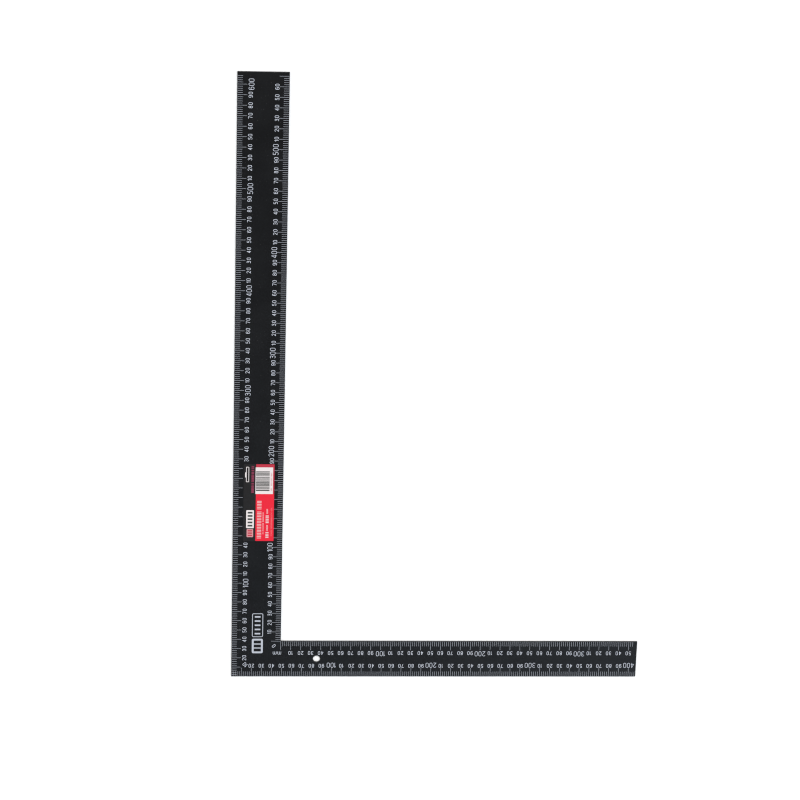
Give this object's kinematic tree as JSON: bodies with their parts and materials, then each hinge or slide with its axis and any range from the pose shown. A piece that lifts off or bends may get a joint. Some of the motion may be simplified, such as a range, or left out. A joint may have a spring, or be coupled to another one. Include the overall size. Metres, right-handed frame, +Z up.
{
  "type": "steel square",
  "caption": "Flat L-shaped steel square, black, with white metric scales along all four edges, a hanging hole in the short arm and an adhesive product label.",
  "frame": {"origin": "outer corner of the L, where the two outer edges meet, on the underside", "axes": "+X along the short arm (tongue), +Y along the long arm (blade), +Z up out of the printed face; the square lies flat"},
  "size_m": [0.4075, 0.612, 0.0021],
  "materials": {
    "black_paint": "satin black powder coat on steel sheet",
    "white_ink": "matt white screen-printed ink",
    "label": "glossy printed adhesive label, red and black"
  },
  "bodies": {
    "root": {"square_plate": "black_paint", "blade_outer_graduations": "white_ink", "blade_inner_graduations": "white_ink", "tongue_outer_graduations": "white_ink", "tongue_inner_graduations": "white_ink", "corner_graduations": "white_ink", "blade_outer_numerals": "white_ink", "blade_inner_numerals": "white_ink", "tongue_outer_numerals": "white_ink", "tongue_inner_numerals": "white_ink", "corner_numerals": "white_ink", "unit_mark": "white_ink", "emblem": "white_ink", "product_label": "label"}
  },
  "joints": []
}
